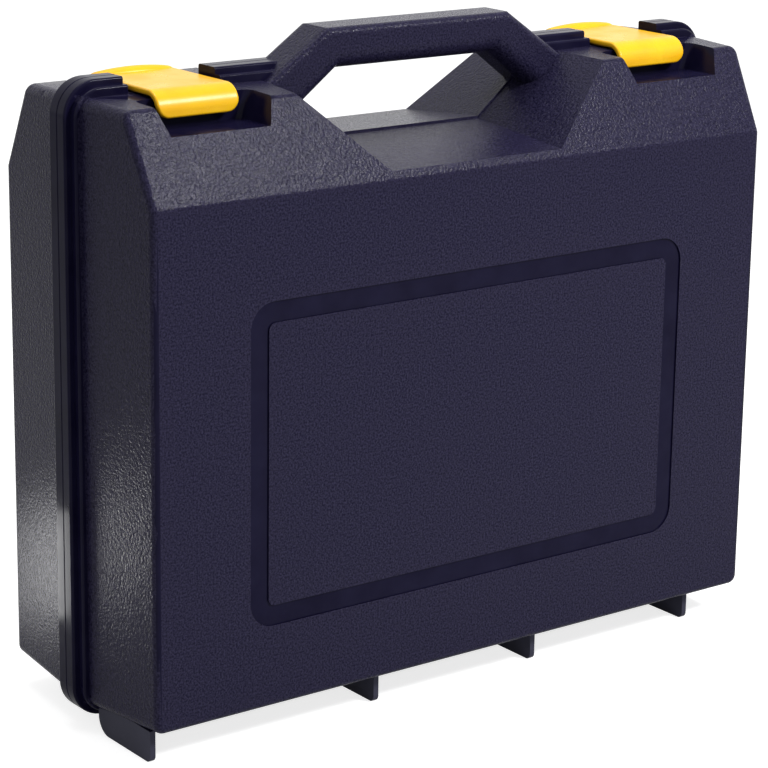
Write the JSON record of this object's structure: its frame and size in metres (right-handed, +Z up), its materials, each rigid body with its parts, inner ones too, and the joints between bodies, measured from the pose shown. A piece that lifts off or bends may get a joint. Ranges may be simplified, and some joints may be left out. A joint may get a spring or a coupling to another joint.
{
  "type": "hard tool case",
  "caption": "Upright moulded plastic tool case: hinged half shells with a split carrying handle, held shut by clip latches that turn on steel pins.",
  "frame": {"origin": "on the floor plane under the middle of the case's width and depth, as it stands closed on its feet", "axes": "+X to the right along the width, -Y out of the front face, +Z up"},
  "size_m": [0.392, 0.132, 0.332],
  "materials": {
    "shell_plastic": "fine spark-eroded grain",
    "lid_plastic": "fine spark-eroded grain, polished rim and frame band",
    "latch_plastic": "satin yellow",
    "pin_steel": "drawn wire"
  },
  "bodies": {
    "rear_half": {"rear_shell": "shell_plastic", "hinge_pin_left": "pin_steel", "hinge_pin_middle": "pin_steel", "hinge_pin_right": "pin_steel", "latch_pin_left": "pin_steel", "latch_pin_right": "pin_steel"},
    "front_half": {"front_shell": "lid_plastic"},
    "left_latch": {"latch_left": "latch_plastic"},
    "right_latch": {"latch_right": "latch_plastic"}
  },
  "joints": [
    {"name": "lid_hinge", "type": "hinge", "parent": "rear_half", "child": "front_half", "pos_m": [0, 0, 0.006], "axis": [1, 0, 0], "range_deg": [0, 180]},
    {"name": "left_latch_hinge", "type": "hinge", "parent": "rear_half", "child": "left_latch", "pos_m": [-0.1395, 0.027, 0.302], "axis": [-1, 0, 0], "range_deg": [0, 95]},
    {"name": "right_latch_hinge", "type": "hinge", "parent": "rear_half", "child": "right_latch", "pos_m": [0.1395, 0.027, 0.302], "axis": [-1, 0, 0], "range_deg": [0, 95]}
  ]
}
